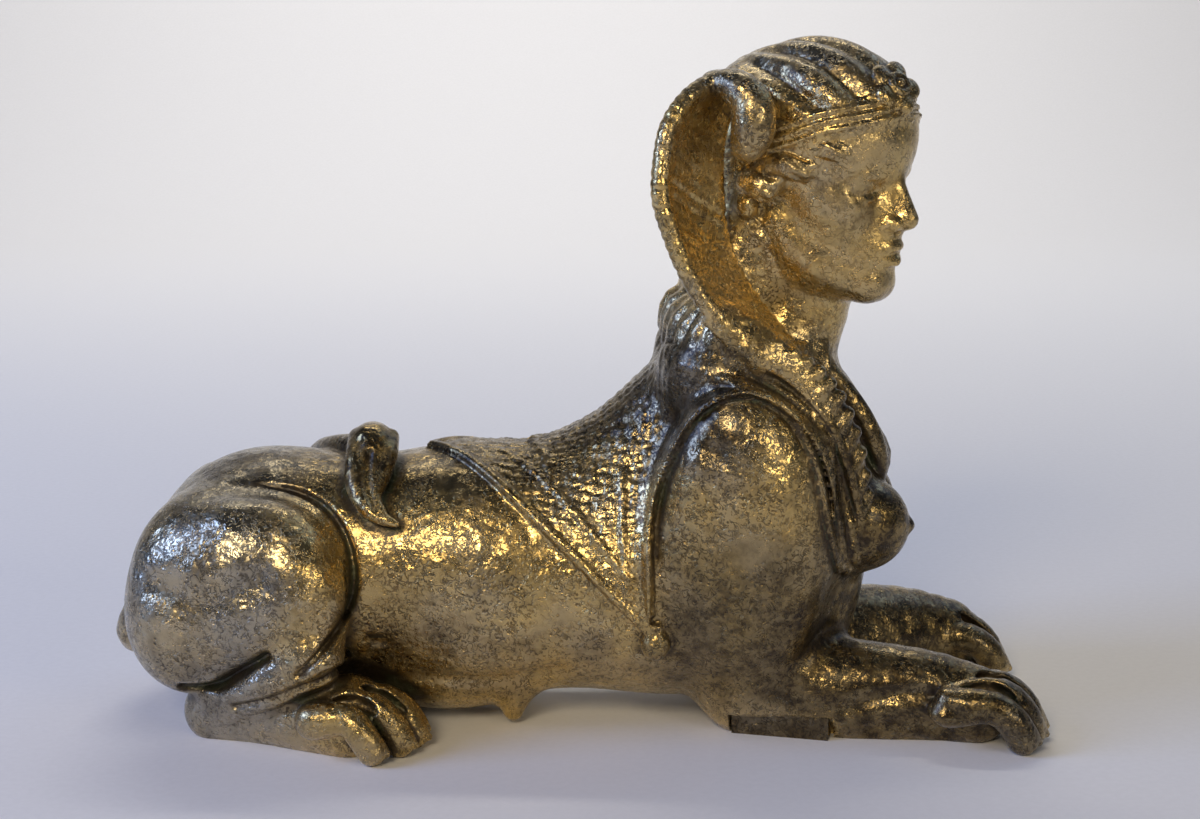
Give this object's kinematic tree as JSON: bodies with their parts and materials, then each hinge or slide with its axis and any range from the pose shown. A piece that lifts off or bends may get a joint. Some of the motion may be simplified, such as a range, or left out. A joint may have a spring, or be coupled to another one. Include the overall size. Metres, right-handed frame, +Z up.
{
  "type": "sphinx statuette",
  "caption": "Recumbent sphinx statuette in gilt bronze: a woman's head and bust in a curled headcloth, on a lioness's body under a saddle cloth.",
  "frame": {"origin": "centre of the figure's bounding box in plan, on the plane that it rests on", "axes": "+X the way the body faces, from the tail to the forepaws; +Y the figure's left; +Z up"},
  "size_m": [0.2697, 0.1005, 0.1952],
  "materials": {
    "gilt_bronze": "aged gilt cast bronze, pitted, polished on the high places and dark brown in the hollows",
    "strip_bronze": "aged bronze, duller than the casting, with small pits"
  },
  "bodies": {
    "root": {"sphinx_casting": "gilt_bronze", "elbow_strip": "strip_bronze"}
  },
  "joints": []
}
